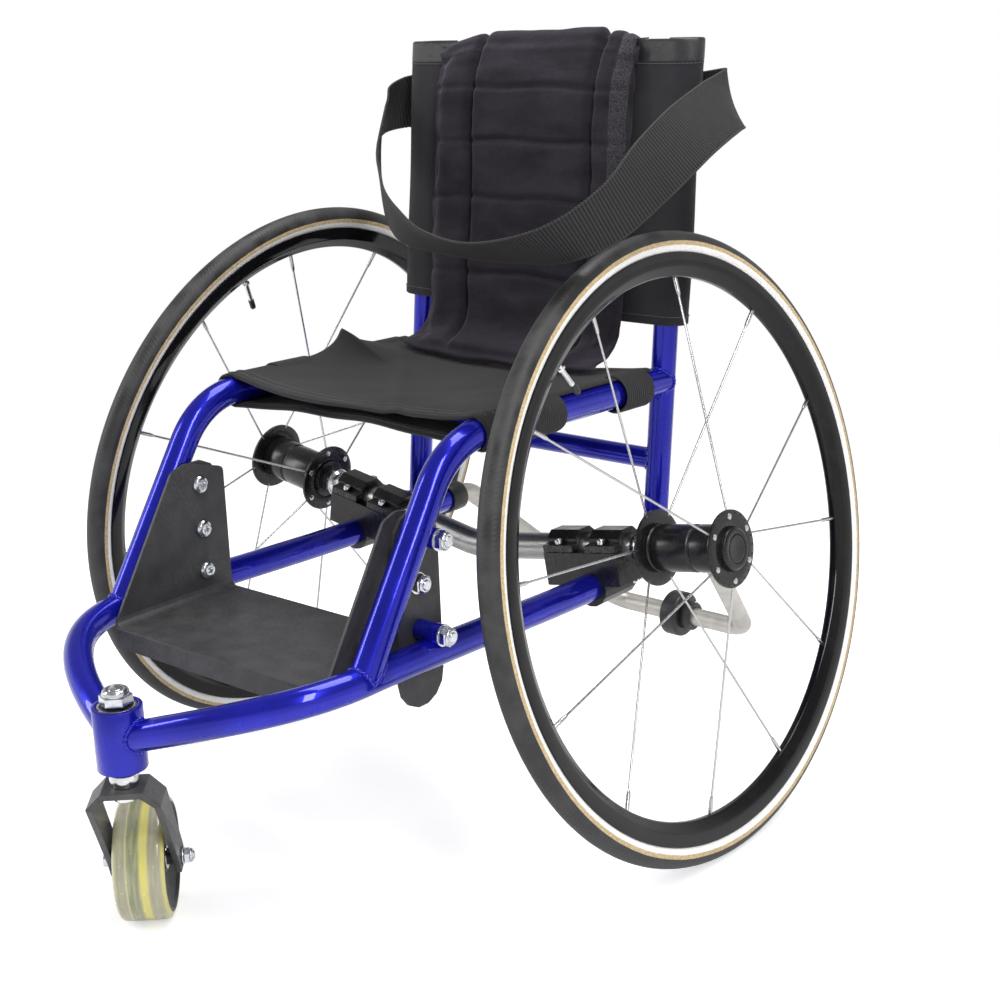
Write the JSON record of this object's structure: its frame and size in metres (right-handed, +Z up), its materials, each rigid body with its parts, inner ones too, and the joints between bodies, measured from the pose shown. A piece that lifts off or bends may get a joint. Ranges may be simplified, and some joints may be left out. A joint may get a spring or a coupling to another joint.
{
  "type": "active wheelchair",
  "caption": "Rigid tube-frame active wheelchair with cambered spoked wheels, one swivelling front caster, sling seat and back, chest strap, footplate and rear anti-tip roller.",
  "frame": {"origin": "on the floor, at the centre of the bounding box seen from above", "axes": "+Z up; the occupant faces -Y, towards the caster; +X is the occupant's left; the anti-tip roller is at the +Y end"},
  "size_m": [0.6644, 0.9262, 0.7875],
  "materials": {
    "blue_paint": "gloss metallic paint",
    "black_anodised": "black anodised, satin",
    "black_satin": "fine-textured black powder coat",
    "brushed_grey": "brushed grey",
    "warm_grey": "bead-blasted",
    "zinc": "zinc plated",
    "bright_steel": "polished",
    "rim_black": "gloss black",
    "rubber": "black tread with a tan sidewall",
    "urethane": "translucent yellow-green cast urethane",
    "hard_black": "moulded black",
    "nylon": "woven black nylon",
    "velvet": "dark brushed velour",
    "webbing": "ribbed black webbing"
  },
  "bodies": {
    "frame": {"anti_tip_bar": "warm_grey", "back_cushion": "velvet", "back_post_left": "blue_paint", "back_post_right": "blue_paint", "back_sling": "nylon", "bar_collar_left": "hard_black", "bar_collar_right": "hard_black", "barrel_bearing_lower": "bright_steel", "barrel_bearing_upper": "bright_steel", "base_tube_left": "blue_paint", "base_tube_right": "blue_paint", "camber_tube": "brushed_grey", "caster_barrel": "blue_paint", "chest_strap": "webbing", "clamp_block_left": "black_anodised", "clamp_block_right": "black_anodised", "clamp_bolt_left_1": "bright_steel", "clamp_bolt_left_2": "bright_steel", "clamp_bolt_right_1": "bright_steel", "clamp_bolt_right_2": "bright_steel", "clamp_cap_left_1": "black_anodised", "clamp_cap_left_2": "black_anodised", "clamp_cap_right_1": "black_anodised", "clamp_cap_right_2": "black_anodised", "footplate": "black_satin", "footplate_bolt_left_1": "zinc", "footplate_bolt_left_2": "zinc", "footplate_bolt_left_3": "zinc", "footplate_bolt_right_1": "zinc", "footplate_bolt_right_2": "zinc", "footplate_bolt_right_3": "zinc", "footplate_strip_left": "black_satin", "footplate_strip_right": "black_satin", "rear_crossbar": "blue_paint", "roller_stop_collar": "hard_black", "seat_sling": "nylon", "side_frame_left": "blue_paint", "side_frame_right": "blue_paint", "stub_axle_left": "black_anodised", "stub_axle_right": "black_anodised", "under_seat_strap": "nylon"},
    "wheel_left": {"hub_shell_left": "black_anodised", "outer_flange_with_spokes_left": "black_anodised", "inner_flange_with_spokes_left": "black_anodised", "rim_left": "rim_black", "tyre_left": "rubber"},
    "wheel_right": {"hub_shell_right": "black_anodised", "outer_flange_with_spokes_right": "black_anodised", "inner_flange_with_spokes_right": "black_anodised", "rim_right": "rim_black", "tyre_right": "rubber"},
    "button_left": {"release_button_left": "black_anodised"},
    "button_right": {"release_button_right": "black_anodised"},
    "caster_swivel": {"caster_fork": "black_satin", "caster_stem": "bright_steel", "caster_stem_nut": "zinc", "caster_axle": "zinc"},
    "caster_wheel": {"caster_hub": "hard_black", "caster_tread": "urethane"},
    "anti_tip_roller": {"anti_tip_roller": "hard_black"}
  },
  "joints": [
    {"name": "wheel_spin_left", "type": "hinge", "parent": "frame", "child": "wheel_left", "pos_m": [0.2708, 0.06307, 0.30086], "axis": [0.9859, 0, 0.1676], "continuous": true},
    {"name": "button_press_left", "type": "slide", "parent": "wheel_left", "child": "button_left", "axis": [-0.9859, 0, -0.1676], "range_m": [0, 0.004], "stiffness_N_per_m": 600},
    {"name": "wheel_spin_right", "type": "hinge", "parent": "frame", "child": "wheel_right", "pos_m": [-0.2708, 0.06307, 0.30086], "axis": [-0.9859, 0, 0.1676], "continuous": true},
    {"name": "button_press_right", "type": "slide", "parent": "wheel_right", "child": "button_right", "axis": [0.9859, 0, -0.1676], "range_m": [0, 0.004], "stiffness_N_per_m": 600},
    {"name": "caster_swivel", "type": "hinge", "parent": "frame", "child": "caster_swivel", "pos_m": [0, -0.42593, 0.21], "axis": [0, 0, 1], "continuous": true},
    {"name": "caster_spin", "type": "hinge", "parent": "caster_swivel", "child": "caster_wheel", "pos_m": [-0.04774, -0.37474, 0.0575], "axis": [0.7314, 0.682, 0], "continuous": true},
    {"name": "anti_tip_roller_spin", "type": "hinge", "parent": "frame", "child": "anti_tip_roller", "pos_m": [0, 0.43507, 0.064], "axis": [1, 0, 0], "continuous": true}
  ]
}
